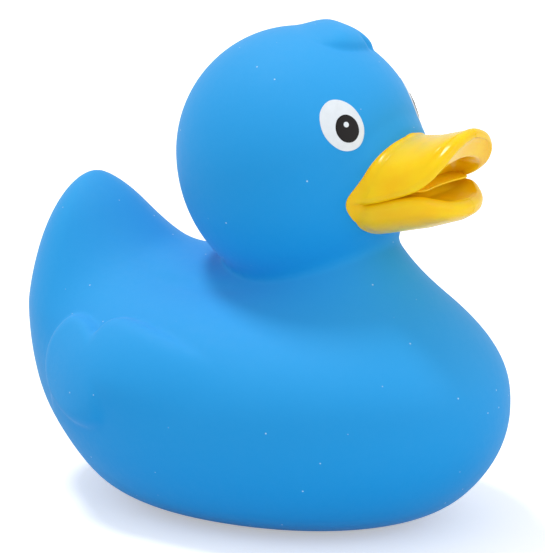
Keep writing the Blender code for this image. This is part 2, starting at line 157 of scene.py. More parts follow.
# The whole form as a field that is negative inside: all forms joined by fillets, with a rounded edge at the
# base, and cut off level there
def duckField(p):
    x, y, z = p[..., 0], p[..., 1], p[..., 2]
    nape, head, fillets = form["nape"], form["head"], form["fillets"]
    f = smoothMin(bodyField(x, y, z), tailField(x, y, z), fillets["tail"])
    pad = (nape["length"] / 2, nape["width"] / 2, nape["height"] / 2)
    f = smoothMin(f, ellipsoidField(x - nape["x"], y, z - nape["z"], *pad), fillets["nape"])
    f = smoothMin(f, neckField(x, y, z), fillets["neck"])
    ball = (head["width"] / 2, head["width"] / 2, np.where(z > head["z"], head["up"], head["down"]))
    f = smoothMin(f, ellipsoidField(x - head["x"], y, z - head["z"], *ball), fillets["head"])
    rounded = -smoothMin(-f, z, fillets["base"])
    return np.maximum(rounded, form["footTrim"] - z)


# Slope of the field at each point, from its change over a short step along x, y and z
def fieldSlope(p):
    step = 0.05
    slope = np.empty_like(p)
    for axis in range(3):
        offset = np.zeros(3)
        offset[axis] = step
        slope[..., axis] = (duckField(p + offset) - duckField(p - offset)) / (2 * step)
    return slope


# Moves points along the slope until they lie on the skin: each round takes off slope * field / slope^2
def settled(p, rounds=4):
    for _ in range(rounds):
        slope = fieldSlope(p)
        p = p - slope * (duckField(p) / np.sum(slope**2, axis=-1))[..., None]
    return p


# First crossing of the skin along each ray: steps of 1 mm, then halving
def rayHits(origin, direction, longest=60.0, halvings=14):
    steps = np.arange(0.0, longest, 1.0)
    outside = duckField(origin[..., None, :] + direction[..., None, :] * steps[:, None]) > 0
    first = np.argmax(outside, axis=-1)
    low = np.maximum(first - 1, 0).astype(float)
    high = first.astype(float)
    for _ in range(halvings):
        middle = (low + high) / 2
        out = duckField(origin + direction * middle[..., None]) > 0
        high = np.where(out, middle, high)
        low = np.where(out, low, middle)
    return origin + direction * ((low + high) / 2)[..., None]


# Cubic curve from the second to the third of four points, at share f, with the slope at each of them taken
# from its two neighbours
def cubic(a, b, c, d, f):
    return 0.5 * (2 * b + (c - a) * f + (2 * a - 5 * b + 4 * c - d) * f**2 + (3 * b - a - 3 * c + d) * f**3)


# Fills rows of points in between by cubic curves
def filled(rows, times, closed):
    if closed:
        p = np.concatenate([rows[-1:], rows, rows[:2]])
    else:
        p = np.concatenate([2 * rows[:1] - rows[1:2], rows, 2 * rows[-1:] - rows[-2:-1]])
    f = (np.arange(times) / times).reshape((1, times) + (1,) * (p.ndim - 1))
    dense = cubic(p[:-3, None], p[1:-2, None], p[2:-1, None], p[3:, None], f)
    dense = dense.reshape((-1,) + rows.shape[1:])
    return dense if closed else np.concatenate([dense, rows[-1:]])


# Smooth curve through the given points at the given shares of its span
def curveThrough(points, shares):
    p = np.asarray(points, float)
    p = np.concatenate([2 * p[:1] - p[1:2], p, 2 * p[-1:] - p[-2:-1]])
    t = np.asarray(shares) * (len(p) - 3)
    i = np.clip(t.astype(int), 0, len(p) - 4)
    f = (t - i).reshape((-1,) + (1,) * (p.ndim - 1))
    return cubic(p[i], p[i + 1], p[i + 2], p[i + 3], f)


# Normals of a grid of points that closes on itself along its columns, from the steps to the neighbours
def gridNormals(grid):
    across = np.roll(grid, -1, axis=1) - np.roll(grid, 1, axis=1)
    along = np.empty_like(grid)
    along[1:-1] = grid[2:] - grid[:-2]
    along[0] = grid[1] - grid[0]
    along[-1] = grid[-1] - grid[-2]
    normal = np.cross(across, along)
    return normal / np.maximum(np.linalg.norm(normal, axis=-1, keepdims=True), 1e-12)


# A mesh from rings of points, with a fan to a single point at each end where one is given
def ringMesh(name, rings, first=None, last=None, normals=None):
    rows, columns = rings.shape[:2]
    points = [rings.reshape(-1, 3)]
    i, j = np.meshgrid(np.arange(rows - 1), np.arange(columns), indexing="ij")
    k = (j + 1) % columns
    low, high = i * columns, (i + 1) * columns
    quads = np.stack([low + j, low + k, high + k, high + j], axis=-1)
    faces = quads.reshape(-1, 4).tolist()
    j = np.arange(columns)
    k = (j + 1) % columns
    total = rows * columns
    if first is not None:
        points.append(np.asarray(first, float)[None])
        faces += np.stack([k, j, np.full(columns, total)], axis=-1).tolist()
        total += 1
    if last is not None:
        points.append(np.asarray(last, float)[None])
        top = (rows - 1) * columns
        faces += np.stack([top + j, top + k, np.full(columns, total)], axis=-1).tolist()
    mesh = bpy.data.meshes.new(name)
    mesh.from_pydata(((np.concatenate(points) + shift) * mm).tolist(), [], faces)
    mesh.shade_smooth()
    if normals is not None:
        mesh.normals_split_custom_set_from_vertices(normals.tolist())
        # How far each point faces up, which the vinyl uses to paint its sheen on faces that point up
        sheenFacing = mesh.attributes.new("paintedSheenFacingUp", "FLOAT", "POINT")
        sheenFacing.data.foreach_set("value", normals[:, 2].astype(np.float32))
    piece = bpy.data.objects.new(name, mesh)
    bpy.context.scene.collection.objects.link(piece)
    return piece


# The skin is a grid of rings round the head's upright axis, from the base up to the crown.
# Half-planes through that axis cut the skin in one curve each. Rays from a point that slides down and
# out inside the body sweep its lower part, and rays from the head's centre sweep its upper part.
skin = {
    "around": 112,
    "bodyRings": 50,
    "headRings": 33,
    "finer": 4,
    "rearCrowding": 0.5,
    "innerZ": 21.0,
    "waistLow": 35.0,
    "waistHigh": 47.0,
    "waistDrop": 6.0,
    "slideShare": 0.2,
    "slideReach": (0.5, 0.85),
    "headStart": 0.06,
    "waistSamples": 49,
    "softenRelief": 2,
}


# Outward directions raised by an angle
def lifted(outward, angle):
    return outward * np.cos(angle)[..., None] + upward * np.sin(angle)[..., None]


# In each half-plane, where the skin comes nearest to the axis between body and head
def waistRing(outward):
    heights = np.linspace(skin["waistLow"], skin["waistHigh"], skin["waistSamples"])
    origin = np.zeros((len(heights), len(outward), 3)) + forward * form["head"]["x"]
    origin[..., 2] = heights[:, None]
    hits = rayHits(origin, np.zeros_like(origin) + outward)
    reach = np.hypot(hits[..., 0] - form["head"]["x"], hits[..., 1])
    return hits[np.argmin(reach, axis=0), np.arange(len(outward))]


# Hits spaced evenly along the skin in each half-plane
def evenSweep(raysAt, around, shares, samples=200):
    fine = np.linspace(0.0, 1.0, samples)[:, None] + np.zeros(around)
    hits = rayHits(*raysAt(fine))
    steps = np.linalg.norm(np.diff(hits, axis=0), axis=2)
    length = np.vstack([np.zeros(around), np.cumsum(steps, axis=0)])
    chosen = [np.interp(shares * length[-1, i], length[:, i], fine[:, i]) for i in range(around)]
    return rayHits(*raysAt(np.stack(chosen, axis=1)))


# Rings of the plain form from the foot to the crown, and the turn of each half-plane
def plainRings():
    around, headX, headZ = skin["around"], form["head"]["x"], form["head"]["z"]
    turn = np.arange(around) * 2 * math.pi / around
    turn = turn + skin["rearCrowding"] * np.sin(turn)
    outward = spots(np.cos(turn), np.sin(turn), 0.0)
    waist = waistRing(outward)
    reach = np.hypot(waist[:, 0] - headX, waist[:, 1])
    nearest, growth = skin["slideReach"]

    def point(out, height):
        spot = outward * out[..., None] + forward * headX
        spot[..., 2] = height
        return spot

    def bodyRays(share):
        slide = smoothStep(0.0, 1.0, share / skin["slideShare"])
        rest = np.clip((share - skin["slideShare"]) / (1 - skin["slideShare"]), 0.0, 1.0)
        start = np.arctan2(skin["waistDrop"], nearest * reach)
        end = -math.pi / 2 - np.arctan2((nearest + growth) * reach, skin["innerZ"])
        angle = start + (math.pi / 2 - start) * slide + (end - math.pi / 2) * rest
        height = (waist[:, 2] - skin["waistDrop"]) * (1 - slide) + skin["innerZ"] * slide
        return point(reach * (nearest + growth * slide), height), lifted(outward, angle)

    def headRays(share):
        low = np.arctan2(waist[:, 2] - headZ, reach)
        angle = low + (math.pi / 2 - low) * (skin["headStart"] + (1 - skin["headStart"]) * share)
        return point(0 * angle, headZ), lifted(outward, angle)

    body = evenSweep(bodyRays, around, np.arange(1, skin["bodyRings"]) / skin["bodyRings"])
    head = evenSweep(headRays, around, np.arange(1, skin["headRings"]) / skin["headRings"])
    starts = np.array([[headX, 0.0, headZ], [headX, 0.0, skin["innerZ"]]])
    ends = rayHits(starts, np.stack([upward, -upward]))
    crown, foot = ends[0] + np.zeros((1, around, 3)), ends[1] + np.zeros((1, around, 3))
    return np.concatenate([foot, body[::-1], waist[None], head, crown]), turn


# Wings: three overlapping feathers on each side. They lie in a plane of x and girth, where girth is
# measured up round the body from the middle of the flank. Each has its middle, its turn (below 0 with the
# front end down), its reach to the rear, front, top and bottom, its height, the width of its rounded rim
# on each side, the power of its outline, and the direction and the stretch, from its middle, over which it
# fades in. The wing as a whole fades in along wholeTurn, from x = 0 and girth = 0, and outwards between
# the two values of innerSide.
wing = {
    "rearFeather": {
        "at": (-20.3, 5.8),
        "turn": -56.0,
        "reach": (10.4, 8.6, 5.0, 9.0),
        "height": 1.6,
        "rim": (2.4, 3.0, 1.8, 1.7),
        "power": 1.8,
        "fadeTurn": 0.0,
        "fade": (-40.0, -30.0),
    },
    "middleFeather": {
        "at": (-10.0, 4.6),
        "turn": -15.6,
        "reach": (10.3, 15.4, 8.6, 14.0),
        "height": 1.6,
        "rim": (1.6, 8.0, 2.8, 14.0),
        "power": 4.6,
        "fadeTurn": 90.0,
        "fade": (-8.0, 1.0),
    },
    "lowFeather": {
        "at": (-19.5, -3.0),
        "turn": 0.0,
        "reach": (10.1, 20.0, 8.0, 12.0),
        "height": 0.4,
        "rim": (1.6, 12.0, 3.0, 10.0),
        "power": 2.6,
        "fadeTurn": 135.0,
        "fade": (-1.0, 6.0),
    },
    "wholeTurn": 151.0,
    "wholeFade": (0.0, 18.0),
    "girth": {"z": 18.0, "radius": 24.0},
    "innerSide": (7.0, 12.0),
    "highestZ": 40.0,
}

# Lock on the crown: a low dome, given as seen from above, a little to the duck's left. It fades in from the
# right and the rear, and has a groove at its front.
lock = {
    "dome": {
        "at": (7.2, 2.0),
        "turn": -5.0,
        "reach": (6.5, 5.6, 6.6, 6.0),
        "height": 1.5,
        "rim": (6.5, 3.2, 6.5, 2.4),
        "power": 2.5,
        "fadeTurn": 45.0,
        "fade": (-4.5, 1.0),
    },
    "groove": {"from": (10.9, 2.5), "to": (12.5, 4.3), "width": 0.45, "depth": 0.9},
    "lowestZ": 66.0,
}


# Height of a pad over a plane. Its outline is a superellipse, r = 1. From there it rises in a round rim as
# sqrt(1 - (1 - t)^2), where t is the depth inside the outline over the rim's width, and further in it is
# level but for its fade. The depth is (1 - r) over the slope of r, and the rim's width goes over from one
# side to the next with the way that the outline faces.
def padHeight(u, v, at, turn, reach, height, rim, power, fadeTurn, fade):
    c, s = math.cos(math.radians(turn)), math.sin(math.radians(turn))
    along = c * (u - at[0]) + s * (v - at[1])
    across = -s * (u - at[0]) + c * (v - at[1])
    ra = np.where(along > 0, reach[1], reach[0])
    rc = np.where(across > 0, reach[2], reach[3])
    ea, ec = np.abs(along) / ra + 1e-6, np.abs(across) / rc + 1e-6
    r = (ea**power + ec**power) ** (1 / power)
    ga, gc = (ea / r) ** (power - 1) / ra, (ec / r) ** (power - 1) / rc
    slope2 = ga**2 + gc**2
    width = np.where(along > 0, rim[1], rim[0]) * ga**2 / slope2
    width = width + np.where(across > 0, rim[2], rim[3]) * gc**2 / slope2
    t = np.clip((1 - r) / np.sqrt(slope2) / width, 0.0, 1.0)
    way = (u - at[0]) * math.cos(math.radians(fadeTurn)) + (v - at[1]) * math.sin(math.radians(fadeTurn))
    return height * smoothStep(*fade, way) * np.sqrt(1 - (1 - t) ** 2)


# Groove along a line in a plane: deepest at its far end, and across it as exp(-(d / width)^2)
def grooveDepth(u, v, start, end, width, depth):
    du, dv = end[0] - start[0], end[1] - start[1]
    length = math.hypot(du, dv)
    along = ((u - start[0]) * du + (v - start[1]) * dv) / length
    across = ((v - start[1]) * du - (u - start[0]) * dv) / length
    return depth * smoothStep(0.0, length, along) * np.exp(-((across / width) ** 2))


# Paint on the bill's root: its boundary on the head at one side, from the ridge round the mouth corner
# to the keel, as y, z, with a middle for its angles, and how far up the bill the root's fillet reaches. The
# boundary wobbles in waves and keeps clear of the bill. The strip's end overlaps the bill and sinks in.
rootPaint = {
    "boundary": [
        (0.0, 59.3),
        (2.4, 58.9),
        (5.4, 58.15),
        (8.2, 56.5),
        (9.8, 54.3),
        (10.8, 52.6),
        (11.2, 51.5),
        (11.1, 50.4),
        (10.5, 49.2),
        (9.2, 47.8),
        (6.8, 46.4),
        (4.3, 45.4),
        (0.0, 44.8),
    ],
    "middle": (0.0, 51.5),
    "film": 0.06,
    "wobble": 0.03,
    "waves": (9, 17, 31, 53),
    "fillet": 1.4,
    "segments": 360,
    "rows": 12,
    "clear": 0.15,
    "overlap": 0.2,
    "sink": 0.4,
}

# Swelling of the head round the bill's root: its height, the distance beyond the paint over which it fades
# out, the heights between which it fades in, and how far in front of the head's axis it starts
brow = {"height": 0.8, "fade": (-1.0, 3.2), "z": (49.0, 56.0), "ahead": 8.0}


# Radius of the paint's boundary round its middle, at an angle from the duck's left
def boundaryRadius(angle):
    half = np.array(rootPaint["boundary"])
    closed = np.concatenate([half, (half * [-1, 1])[-2:0:-1]])
    closed = filled(closed, 8, True) - np.array(rootPaint["middle"])
    angles = np.arctan2(closed[:, 1], closed[:, 0])
    order = np.argsort(angles)
    return np.interp(angle, angles[order], np.hypot(closed[:, 0], closed[:, 1])[order], period=2 * math.pi)


# Swelling at each point: the height times a fall beyond the paint's boundary and a rise upwards
def browHeight(p):
    y, z = p[..., 1] - rootPaint["middle"][0], p[..., 2] - rootPaint["middle"][1]
    beyond = np.hypot(y, z) - boundaryRadius(np.arctan2(z, y))
    fall = 1 - smoothStep(*brow["fade"], beyond)
    inFront = p[..., 0] > form["head"]["x"] + brow["ahead"]
    return brow["height"] * fall * smoothStep(*brow["z"], p[..., 2]) * inFront


# How far the skin stands proud of the plain form: the highest feather, the lock and the brow
def relief(p):
    x, y, z = p[..., 0], p[..., 1], p[..., 2]
    girth = wing["girth"]["radius"] * np.arctan2(z - wing["girth"]["z"], np.abs(y))
    names = ("rearFeather", "middleFeather", "lowFeather")
    feathers = [padHeight(x, girth, **wing[name]) for name in names]
    way = math.radians(wing["wholeTurn"])
    onSide = smoothStep(*wing["wholeFade"], x * math.cos(way) + girth * math.sin(way))
    onSide = onSide * smoothStep(*wing["innerSide"], np.abs(y)) * (z < wing["highestZ"])
    dome = padHeight(x, y, **lock["dome"])
    groove = lock["groove"]
    dent = grooveDepth(x, y, groove["from"], groove["to"], groove["width"], groove["depth"])
    onCrown = z > lock["lowestZ"]
    return np.max(feathers, axis=0) * onSide + np.maximum(dome - dent, 0.0) * onCrown + browHeight(p)


# Base: the flat is closed by a chamber round the squeaker, as radius and height of its wall
base = {
    "holeX": -1.3,
    "chamber": [(0.0, 7.2), (8.2, 7.2), (8.2, 2.3), (6.5, 2.3), (6.5, 0.6), (6.59, 0.39), (6.8, 0.3)],
    "flatRows": 30,
}


# Rings of a profile of radius and height, turned round the upright axis of the hole
def turned(profile, turn):
    return [spots(base["holeX"] + r * np.cos(turn), r * np.sin(turn), z) for r, z in profile]


# The skin: the plain rings, filled in between, settled on the form, and lifted along the slope by the
# relief. Flat and chamber close it below, and it is parted at the waist into body and head.
def skinPieces():
    rings, turn = plainRings()
    finer = skin["finer"]
    dense = filled(rings, finer, False)
    dense = filled(np.swapaxes(dense, 0, 1), finer, True).swapaxes(0, 1)
    dense[1:-1] = settled(dense[1:-1])
    slope = fieldSlope(dense[1:-1])
    height = relief(dense[1:-1])
    for _ in range(skin["softenRelief"]):
        height[1:-1] = (height[:-2] + 2 * height[1:-1] + height[2:]) / 4
        height = (np.roll(height, 1, axis=1) + 2 * height + np.roll(height, -1, axis=1)) / 4
    dense[1:-1] += unit(slope) * height[..., None]
    dense[-1] = dense[-1].mean(axis=0) + upward * height[-1].mean()
    turn = filled(np.append(turn, 2 * math.pi), finer, False)[:-1]
    chamber = turned(base["chamber"][1:], turn)
    start = base["flatRows"]
    share = np.linspace(0.0, 1.0, start)[:, None, None]
    flat = chamber[-1] * (1 - share) + dense[start] * share
    whole = np.concatenate([np.array(chamber[:-1]), flat, dense[start + 1:-1]])
    normals = gridNormals(whole)
    waistRow = len(whole) - skin["headRings"] * finer
    foot = np.array([base["holeX"], 0.0, base["chamber"][0][1]])
    bodyNormals = np.concatenate([normals[:waistRow + 1].reshape(-1, 3), -upward[None]])
    headNormals = np.concatenate([normals[waistRow:].reshape(-1, 3), upward[None]])
    body = ringMesh("body_skin", whole[:waistRow + 1], first=foot, normals=bodyNormals)
    head = ringMesh("head_skin", whole[waistRow:], last=dense[-1, 0], normals=headNormals)
    return body, head


# Mouth: the roof is a pocket behind a ledge that follows the upper lip, and the floor is a shallow spoon.
# Both start between the two values of closedX. The ledge's middle is given as x, z.
mouth = {
    "closedX": (23.2, 26.4),
    "ledge": [
        (14.0, 50.0),
        (27.2, 52.3),
        (28.4, 53.3),
        (29.45, 55.35),
        (30.4, 57.1),
        (31.4, 59.0),
        (32.5, 60.6),
    ],
    "pocket": {"low": 52.7, "high": 56.7, "reach": 8.7, "blend": 0.3},
    "floor": {"low": 51.0, "high": 53.0},
}

# Tongue: a thin web between the two hollows. Its front bows forward at both sides, and its corners are
# rounded back.
tongue = {
    "rear": 20.0,
    "front": 27.2,
    "bow": 0.9,
    "round": 3.0,
    "half": 8.1,
    "z": 52.7,
    "thick": 0.36,
    "sections": 121,
    "nosePoints": 13,
}


# Roof: ledge from the lip L to the middle M, z = L + (M - L) (1 - s^2), and over it a pocket that is a
# half-oval across
def roofFace(share, x, lipY, lipZ):
    pocket = mouth["pocket"]
    ledge = lipZ + (np.interp(x, *zip(*mouth["ledge"])) - lipZ) * (1 - share**2)
    oval = np.sqrt(np.maximum(1 - (share * lipY / pocket["reach"]) ** 2, 0.0))
    rise = pocket["low"] + (pocket["high"] - pocket["low"]) * oval - ledge
    rise = (rise + np.sqrt(rise**2 + pocket["blend"] ** 2)) / 2
    return spots(x, lipY * share, ledge + rise * smoothStep(*mouth["closedX"], x))


# Floor: where the mouth is closed it arches from the lips to the high level, and further on it is a spoon
def floorFace(share, x, lipY, lipZ):
    floor = mouth["floor"]
    closed = lipZ + (floor["high"] - lipZ) * (1 - share**2)
    spoon = lipZ + (floor["low"] - lipZ) * (1 - share**4)
    return spots(x, lipY * share, closed + (spoon - closed) * smoothStep(*mouth["closedX"], x))


# Bill: the middle line of each lip from the mouth corner to the tip, with the lip's radius and its tilt
# at the tip in degrees. The outer line is the ridge or keel at the middle, as x, z, and arch is the power of
# the section over it. The lip's roll starts at an angle from the outer side, and softening rounds the
# groove between the lip and the outer face.
upperBill = {
    "edge": [
        (15.6, 9.0, 51.0),
        (20.0, 9.6, 51.5),
        (24.0, 9.4, 52.5),
        (26.9, 9.2, 53.6),
        (29.0, 8.7, 55.2),
        (30.1, 7.9, 56.7),
        (30.8, 6.6, 58.0),
        (31.3, 4.2, 59.5),
        (31.5, 0.0, 60.4),
    ],
    "lip": 0.85,
    "tipSlope": 50.0,
    "outer": [(14.0, 58.6), (20.0, 58.8), (26.0, 59.6), (32.2, 61.3)],
    "inner": roofFace,
    "side": 1,
    "arch": 2.15,
    "rollFrom": 20.0,
    "soften": 12,
}

lowerBill = {
    "edge": [
        (15.6, 7.6, 49.4),
        (20.0, 8.8, 49.6),
        (24.5, 8.8, 50.6),
        (27.2, 7.9, 51.0),
        (28.8, 6.5, 50.6),
        (30.4, 4.0, 50.0),
        (31.1, 0.0, 49.8),
    ],
    "lip": 1.1,
    "tipSlope": 0.0,
    "outer": [(14.0, 44.5), (20.0, 44.8), (26.0, 46.2), (30.4, 47.7), (31.7, 48.5), (32.4, 49.2)],
    "inner": floorFace,
    "side": -1,
    "arch": 1.95,
    "rollFrom": 70.0,
    "soften": 6,
}

# The number of points of each section on the outer arch, on each lip and on the inner face, and how many of
# a lip's points next to the inner face are not softened
billPoints = {"arch": 65, "lip": 15, "inner": 91, "sharp": 3}

# Where the last section stands along the lips (0.5 is the tip), where the lips start to tilt, how far they
# lean out before that, and where the arch, in degrees, and the inner face, as a share, stop at the lips
billLimits = {"tip": 0.4985, "tiltFrom": 26.0, "lean": 0.25, "arch": 86.0, "inner": 0.985}

# The bill is rolled a little towards its tip, with its left side down
billRoll = {"slope": 0.04, "from": 18.0, "to": 28.0}


# Points lowered by their y times a slope that grows towards the tip
def rolled(points):
    slope = billRoll["slope"] * smoothStep(billRoll["from"], billRoll["to"], points[..., 0])
    return points - (points[..., 1] * slope)[..., None] * upward


# Closed sections stand across the bill from inside the head to the tip: over the outer face, round one
# lip, along the inner face, and round the other lip. Each lip is a part of a circle round its middle line,
# and side is 1 where the outer face is on top and -1 where it is below.
def billRings(edge, lip, tipSlope, outer, inner, side, arch, rollFrom, soften, stations=150):
    full = list(edge) + [(x, -y, z) for x, y, z in edge[-2::-1]]
    shares = billLimits["tip"] * np.sin(np.linspace(0.0, math.pi / 2, stations))
    middle = curveThrough(full, shares)
    tangent = unit(curveThrough(full, shares + 0.001) - curveThrough(full, shares - 0.001))
    steep = smoothStep(billLimits["tiltFrom"], middle[-1, 0], middle[:, 0])
    slope = np.radians(tipSlope) * steep
    normal = spots(-np.sin(slope), billLimits["lean"] * (1 - steep), np.cos(slope))
    normal = unit(normal - tangent * np.sum(normal * tangent, axis=1, keepdims=True)) * side
    out = unit(np.cross(normal, tangent)) * side

    def rollSpot(angle):
        return middle + lip * (normal * math.cos(angle) + out * math.sin(angle))

    # Superellipse arch between the two lips, up or down to the outer line at the middle
    def outerArch(angle):
        x, y, z = rollSpot(math.radians(rollFrom)).T
        share = math.copysign(abs(math.sin(angle)) ** (2 / arch), angle)
        height = math.cos(angle) ** (2 / arch)
        return spots(x, y * share, z + (np.interp(x, *zip(*outer)) - z) * height)

    def innerFace(share):
        return inner(share, *rollSpot(math.pi).T)

    mirror = np.array([1.0, -1.0, 1.0])
    archCount, lipCount, innerCount, sharp = billPoints.values()
    archEnd, innerEnd = billLimits["arch"], billLimits["inner"]
    rolls = [rollSpot(a) for a in np.radians(np.linspace(rollFrom, 180.0, lipCount))]
    row = [outerArch(a) for a in np.radians(np.linspace(archEnd, -archEnd, archCount))]
    row += [r * mirror for r in rolls]
    row += [innerFace(share) for share in np.linspace(-innerEnd, innerEnd, innerCount)]
    row += rolls[::-1]
    rings = np.stack(row, axis=1)
    inside = archCount + lipCount
    onOutside = np.ones(len(row))
    onOutside[inside - sharp:inside + innerCount + sharp] = 0.0
    for _ in range(soften):
        smooth = (np.roll(rings, 1, axis=1) + 2 * rings + np.roll(rings, -1, axis=1)) / 4
        rings = rings + (smooth - rings) * onOutside[:, None]
    return rolled(rings)


# Sections of the tongue stand along the bill, each flat with a round front end. The front is at
# x = front + bow s^2 - round s^12, where s is the share of the way from the middle to a side.
def tonguePiece():
    half, nose = tongue["thick"] / 2, np.radians(np.linspace(90.0, -90.0, tongue["nosePoints"]))
    rings = []
    for y in np.linspace(-tongue["half"], tongue["half"], tongue["sections"]):
        share = abs(y) / tongue["half"]
        front = tongue["front"] + tongue["bow"] * share**2 - tongue["round"] * share**12
        x = np.concatenate([[tongue["rear"]], front + half * np.cos(nose), [tongue["rear"]]])
        z = tongue["z"] + half * np.concatenate([[1.0], np.sin(nose), [-1.0]])
        rings.append(spots(x, y, z))
    rings = rolled(np.array(rings)[:, ::-1])
    return ringMesh("tongue", rings, first=rings[0].mean(axis=0), last=rings[-1].mean(axis=0))


# Eyes: painted films on the head. Each has its middle on the right side of the head, its half sizes along
# the long and short axis, the lean of the long axis away from the bill, and the film's thickness.
eyes = {
    "white": {"at": (16.37, 10.56, 62.06), "half": (4.0, 3.18), "lean": 25.4, "film": 0.06},
    "pupil": {"at": (16.93, 10.18, 61.52), "half": (2.05, 1.79), "lean": 9.3, "film": 0.11},
    "glint": {"at": (16.68, 10.15, 62.05), "half": (0.4, 0.4), "lean": 0.0, "film": 0.16},
}
leftEyeTurn = 5.0  # degrees towards the bill, round the head's axis
eyeEdge = {"points": 96, "threeWaves": 0.006, "sevenWaves": 0.004}  # how far the hand-set edge wavers


# A film of paint: rings shrink from the outline to the middle and lie on the skin. The first ring lies a
# little under the skin, so that the film has a rim.
def filmRings(outline, middle, thickness):
    shares = np.array([1.0, 1.0, 0.985, 0.95, 0.88, 0.76, 0.6, 0.4, 0.2])
    lift = np.array([-0.05, 0.6, 0.9, 1.0, 1.0, 1.0, 1.0, 1.0, 1.0]) * thickness
    rings = settled(middle + (outline - middle) * shares[:, None, None])
    return rings + unit(fieldSlope(rings)) * (lift[:, None] + relief(rings))[..., None]


# An eye's film on one side: the outline is at + a L cos(t) + b S sin(t), with L and S the long and the
# short axis on the skin, and a slight wobble as of hand-set paint
def eyeFilm(name, side, at, half, lean, film):
    angle = math.radians(leftEyeTurn) if side > 0 else 0.0
    c, s, headX = math.cos(angle), math.sin(angle), form["head"]["x"]
    x, y = c * (at[0] - headX) + s * at[1], c * at[1] - s * (at[0] - headX)
    at = settled(np.array([headX + x, y * side, at[2]]))
    normal = unit(fieldSlope(at))
    toBill = unit(np.cross(upward, normal)) * -side
    toCrown = np.cross(normal, toBill) * -side
    angle = math.radians(lean)
    longAxis = toCrown * math.cos(angle) - toBill * math.sin(angle)
    shortAxis = toBill * math.cos(angle) + toCrown * math.sin(angle)
    points, three, seven = eyeEdge.values()
    turn = np.arange(points) * 2 * math.pi / points * side
    wobble = 1 + three * np.sin(3 * turn + 1.0) + seven * np.sin(7 * turn)
    along, across = np.cos(turn) * wobble, np.sin(turn) * wobble
    outline = at + (longAxis * along[:, None] * half[0] + shortAxis * across[:, None] * half[1])
    rings = filmRings(outline, at, film)
    return ringMesh(name, rings, last=at + normal * (film + relief(at)))


# The point of each column of the bill's rings that lies at a height over the head's skin
def atHeight(rings, height):
    field = duckField(rings) - browHeight(rings)
    found = np.empty((rings.shape[1], 3))
    for column in range(rings.shape[1]):
        rising = np.maximum.accumulate(field[:, column]) + np.arange(len(rings)) * 1e-7
        for axis in range(3):
            found[column, axis] = np.interp(height, rising, rings[:, column, axis])
    return found


# The painted root: a strip from the paint's boundary on the head, in a fillet, up onto the bill. Each line
# of it is a curve drawn towards the corner between head and bill: B (1 - t)^2 + 2 C t (1 - t) + E t^2.
def rootStrip(bills):
    onArch, onLip = billPoints["arch"], billPoints["lip"]
    halves = [np.concatenate([rings[:, :onArch + onLip], rings[:, -onLip:]], axis=1) for rings in bills]
    corner = np.concatenate([atHeight(rings, 0.0) for rings in halves])
    end = np.concatenate([atHeight(rings, rootPaint["fillet"]) for rings in halves])
    middle = np.array(rootPaint["middle"])
    angle = np.arctan2(corner[:, 2] - middle[1], corner[:, 1] - middle[0])
    order = np.argsort(angle)
    corner, end, angle = corner[order], end[order], angle[order]
    turn = np.linspace(-math.pi, math.pi, rootPaint["segments"], endpoint=False)

    def atTurn(points):
        return np.stack([np.interp(turn, angle, points[:, i], period=2 * math.pi) for i in range(3)], axis=1)

    corner, end = atTurn(corner), atTurn(end)
    wobble = sum(np.sin(n * turn + 2.1 * n * n) / n**0.6 for n in rootPaint["waves"]) * rootPaint["wobble"]
    least = np.hypot(corner[:, 1] - middle[0], corner[:, 2] - middle[1]) + rootPaint["clear"]
    radius = np.maximum(boundaryRadius(turn) + wobble, least)
    start = spots(form["head"]["x"], middle[0] + radius * np.cos(turn), middle[1] + radius * np.sin(turn))
    start = rayHits(start, np.zeros_like(start) + forward)
    start = start + unit(fieldSlope(start)) * browHeight(start)[:, None]
    film = unit(fieldSlope(start)) * rootPaint["film"]
    rows = [start - film, start + film * 0.7]
    for t in np.linspace(0.08, 1.0, rootPaint["rows"]):
        rows.append((start + film) * (1 - t) ** 2 + (corner + film) * 2 * t * (1 - t) + end * t**2)
    overlap, sink = rootPaint["overlap"], rootPaint["sink"]
    rows.append(end * (1 + overlap) - corner * overlap - unit(end - end.mean(axis=0)) * sink)
    return ringMesh("root_paint", np.array(rows), last=rows[-1].mean(axis=0))


# Squeaker: a moulded disc in the base, as radius and height of its profile from the air hole out and back
squeaker = {
    "profile": [
        (1.2, 1.2),
        (1.25, 0.95),
        (1.45, 0.85),
        (3.6, 0.85),
        (3.75, 0.8),
        (3.9, 0.7),
        (5.4, 0.7),
        (5.85, 0.75),
        (6.1, 0.9),
        (6.2, 1.15),
        (6.2, 2.55),
        (7.5, 2.6),
        (7.7, 2.8),
        (7.7, 3.3),
        (7.5, 3.5),
        (4.6, 3.6),
        (4.5, 3.7),
        (4.5, 6.4),
        (4.3, 6.6),
        (3.7, 6.6),
        (3.5, 6.4),
        (3.5, 3.7),
        (3.3, 3.6),
        (1.3, 3.6),
        (1.2, 3.5),
        (1.2, 1.2),
    ],
    "around": 96,
}


def squeakerPiece():
    turn = np.arange(squeaker["around"]) * 2 * math.pi / squeaker["around"]
    return ringMesh("squeaker_disc", np.array(turned(squeaker["profile"], turn)))


# A material with its node tree and its shader
def newMaterial(name):
    material = bpy.data.materials.new(name)
    material.use_nodes = True
    shader = material.node_tree.nodes["Principled BSDF"]
    return material, material.node_tree, shader


# A node whose sockets and settings take the given values
def addNode(tree, kind, **values):
    node = tree.nodes.new(kind)
    for key, value in values.items():
        if key in node.inputs:
            node.inputs[key].default_value = value
        else:
            setattr(node, key, value)
    return node


# Colour between two colours by a value
def mixColor(tree, factor, first, second):
    mix = tree.nodes.new("ShaderNodeMix")
    mix.data_type = "RGBA"
    for socket, value in ((mix.inputs[0], factor), (mix.inputs[6], first), (mix.inputs[7], second)):
        if isinstance(value, bpy.types.NodeSocket):
            tree.links.new(value, socket)
        else:
            socket.default_value = value
    return mix.outputs[2]


